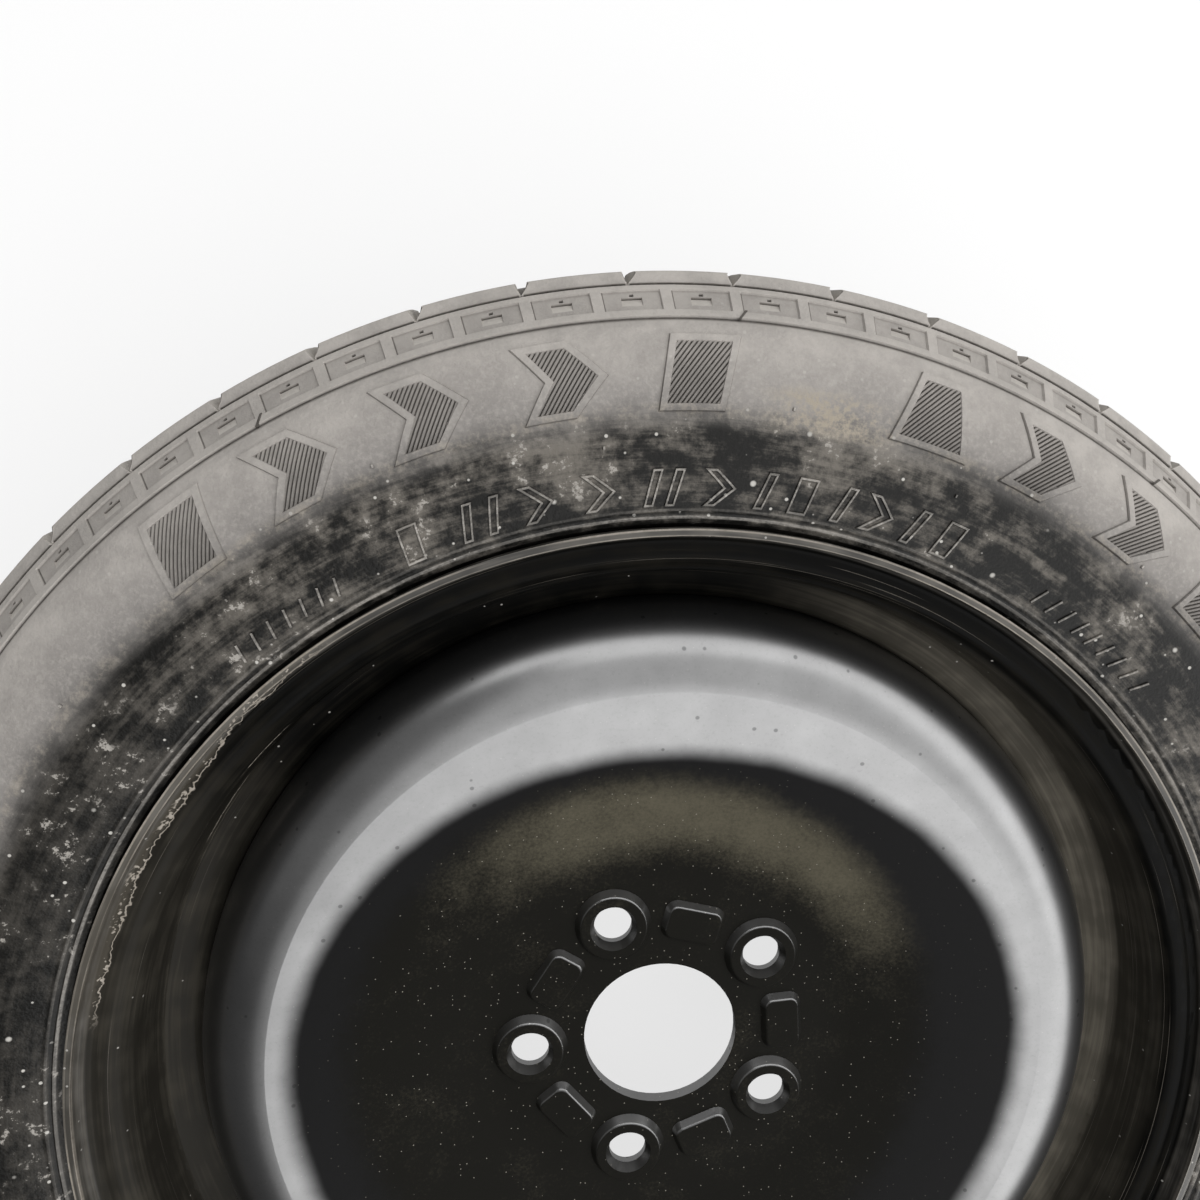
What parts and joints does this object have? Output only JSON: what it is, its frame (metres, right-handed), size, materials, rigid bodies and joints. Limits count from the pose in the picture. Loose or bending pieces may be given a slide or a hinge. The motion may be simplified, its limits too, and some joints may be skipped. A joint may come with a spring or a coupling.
{
  "type": "space saver spare wheel",
  "caption": "Narrow temporary spare wheel: a slim high-sided tyre on a black pressed-steel wheel with a domed disc, centre bore and bolt circle.",
  "frame": {"origin": "centre of the hub's mounting face, on the wheel's axis", "axes": "+Z along the wheel's axis towards the outboard face, which is up as the wheel lies; the valve is on the -Y side"},
  "size_m": [0.613, 0.613, 0.128],
  "materials": {
    "tyre_rubber": "dusty grey moulded rubber, blacker towards the bead",
    "rim_paint": "gloss black paint, chipped along the flange",
    "disc_paint": "gloss black paint, dusty towards the hub",
    "weld_paint": "painted weld bead",
    "valve_rubber": "moulded black rubber",
    "brass": "turned brass",
    "gasket": "black seal rubber",
    "spring_steel": "drawn wire",
    "cap_plastic": "moulded black plastic"
  },
  "bodies": {
    "wheel": {"tyre": "tyre_rubber", "rim": "rim_paint", "wheel_disc": "disc_paint", "disc_welds": "weld_paint", "valve_body": "valve_rubber", "valve_stem": "brass", "core_plug": "brass", "core_barrel": "brass", "core_gasket": "gasket", "core_spring": "spring_steel"},
    "valve_pin": {"core_pin": "brass", "pin_cup": "brass", "cup_seal": "gasket"},
    "cap_seal": {"cap_seal": "gasket"},
    "valve_cap": {"valve_cap": "cap_plastic"}
  },
  "joints": [
    {"name": "pin_press", "type": "slide", "parent": "wheel", "child": "valve_pin", "axis": [0, -0.5, -0.866], "range_m": [0, 0.0014], "stiffness_N_per_m": 600, "springref_m": -0.003, "deforming": ["core_spring"]},
    {"name": "cap_lift", "type": "slide", "parent": "wheel", "child": "cap_seal", "axis": [0, 0.5, 0.866], "range_m": [0, 0.007]},
    {"name": "cap_turn", "type": "hinge", "parent": "cap_seal", "child": "valve_cap", "pos_m": [0, -0.19245, 0.00204], "axis": [0, 0.5, 0.866], "range_deg": [0, 3175]}
  ],
  "couplings": [
    {"joint": "cap_turn", "follows": "cap_lift", "rad_per_m": 7913.3}
  ]
}
